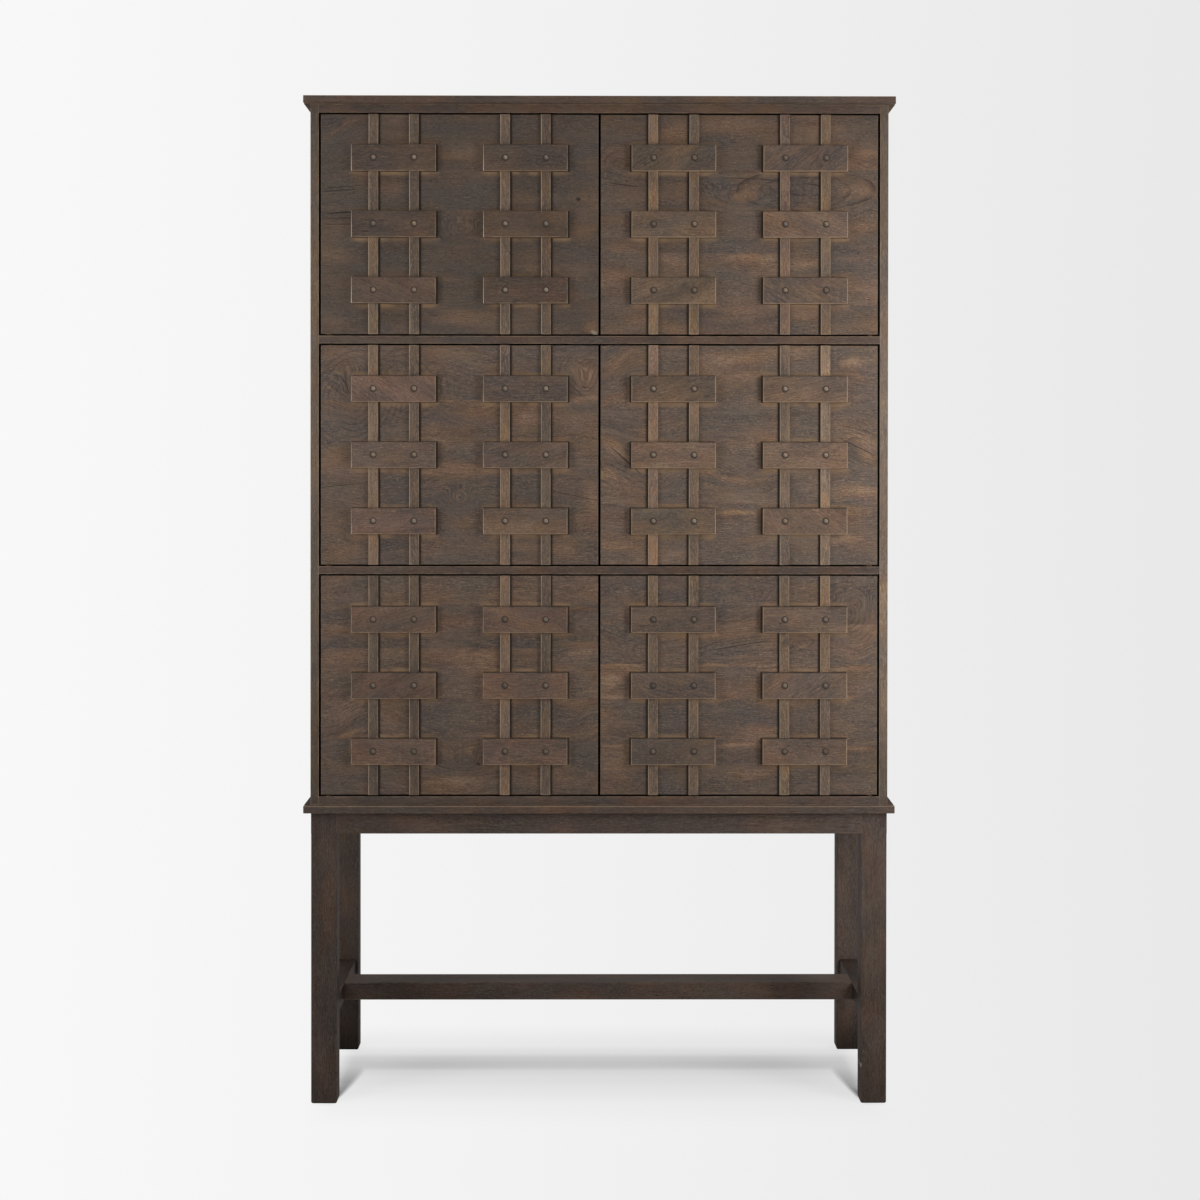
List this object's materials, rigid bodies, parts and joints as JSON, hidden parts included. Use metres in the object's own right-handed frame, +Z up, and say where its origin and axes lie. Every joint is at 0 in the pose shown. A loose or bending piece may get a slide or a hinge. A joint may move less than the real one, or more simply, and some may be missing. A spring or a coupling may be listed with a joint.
{
  "type": "tall cabinet",
  "caption": "Tall dark wood cabinet on an open stand, inset doors in stacked pairs, each faced with vertical straps and short pegged cross blocks.",
  "frame": {"origin": "on the floor, below the middle of the boards", "axes": "+Z up, front of the doors faces -Y, +X to the right seen from the front"},
  "size_m": [1.072, 0.457, 1.829],
  "materials": {
    "dark_wood": "dark brown stained hardwood with a low satin sheen",
    "stand_wood": "dark brown stained hardwood, straight grained and satin",
    "door_wood": "dark brown stained hardwood with lively figure and knots",
    "strap_wood": "stained hardwood strips, grain lengthwise, edges rubbed through",
    "block_wood": "stained hardwood blocks, each of its own tone, ends rubbed through",
    "peg_wood": "round wooden pegs, end grain out",
    "back_wood": "thin stained board",
    "steel": "zinc plated steel",
    "magnet": "nickel plated magnet with steel poles",
    "brass": "plain turned brass",
    "catch_plastic": "moulded brown plastic"
  },
  "bodies": {
    "cabinet": {"front_apron": "stand_wood", "rear_apron": "stand_wood", "left_apron": "stand_wood", "right_apron": "stand_wood", "left_stretcher": "stand_wood", "right_stretcher": "stand_wood", "long_stretcher": "stand_wood", "front_left_leg": "stand_wood", "front_right_leg": "stand_wood", "rear_left_leg": "stand_wood", "rear_right_leg": "stand_wood", "apron_cleats": "dark_wood", "base_board": "dark_wood", "top_board": "dark_wood", "bottom_panel": "dark_wood", "top_panel": "dark_wood", "lower_shelf": "dark_wood", "upper_shelf": "dark_wood", "left_side_panel": "dark_wood", "right_side_panel": "dark_wood", "back_panel": "back_wood", "top_mouldings": "dark_wood", "base_mouldings": "dark_wood", "pivot_pins": "steel", "pivot_washers": "brass", "catch_housings": "catch_plastic", "catch_magnets": "magnet", "board_screws": "steel", "back_screws": "steel", "catch_screws": "steel"},
    "lower_left_door": {"lower_left_panel": "door_wood", "lower_left_straps": "strap_wood", "lower_left_blocks": "block_wood", "lower_left_pegs": "peg_wood", "lower_left_strike": "steel"},
    "lower_right_door": {"lower_right_panel": "door_wood", "lower_right_straps": "strap_wood", "lower_right_blocks": "block_wood", "lower_right_pegs": "peg_wood", "lower_right_strike": "steel"},
    "middle_left_door": {"middle_left_panel": "door_wood", "middle_left_straps": "strap_wood", "middle_left_blocks": "block_wood", "middle_left_pegs": "peg_wood", "middle_left_strike": "steel"},
    "middle_right_door": {"middle_right_panel": "door_wood", "middle_right_straps": "strap_wood", "middle_right_blocks": "block_wood", "middle_right_pegs": "peg_wood", "middle_right_strike": "steel"},
    "upper_left_door": {"upper_left_panel": "door_wood", "upper_left_straps": "strap_wood", "upper_left_blocks": "block_wood", "upper_left_pegs": "peg_wood", "upper_left_strike": "steel"},
    "upper_right_door": {"upper_right_panel": "door_wood", "upper_right_straps": "strap_wood", "upper_right_blocks": "block_wood", "upper_right_pegs": "peg_wood", "upper_right_strike": "steel"}
  },
  "joints": [
    {"name": "lower_left_door_swing", "type": "hinge", "parent": "cabinet", "child": "lower_left_door", "pos_m": [-0.49185, -0.2065, 0.7615], "axis": [0, 0, -1], "range_deg": [0, 110]},
    {"name": "lower_right_door_swing", "type": "hinge", "parent": "cabinet", "child": "lower_right_door", "pos_m": [0.49185, -0.2065, 0.7615], "axis": [0, 0, 1], "range_deg": [0, 110]},
    {"name": "middle_left_door_swing", "type": "hinge", "parent": "cabinet", "child": "middle_left_door", "pos_m": [-0.49185, -0.2065, 1.1795], "axis": [0, 0, -1], "range_deg": [0, 110]},
    {"name": "middle_right_door_swing", "type": "hinge", "parent": "cabinet", "child": "middle_right_door", "pos_m": [0.49185, -0.2065, 1.1795], "axis": [0, 0, 1], "range_deg": [0, 110]},
    {"name": "upper_left_door_swing", "type": "hinge", "parent": "cabinet", "child": "upper_left_door", "pos_m": [-0.49185, -0.2065, 1.5975], "axis": [0, 0, -1], "range_deg": [0, 110]},
    {"name": "upper_right_door_swing", "type": "hinge", "parent": "cabinet", "child": "upper_right_door", "pos_m": [0.49185, -0.2065, 1.5975], "axis": [0, 0, 1], "range_deg": [0, 110]}
  ]
}
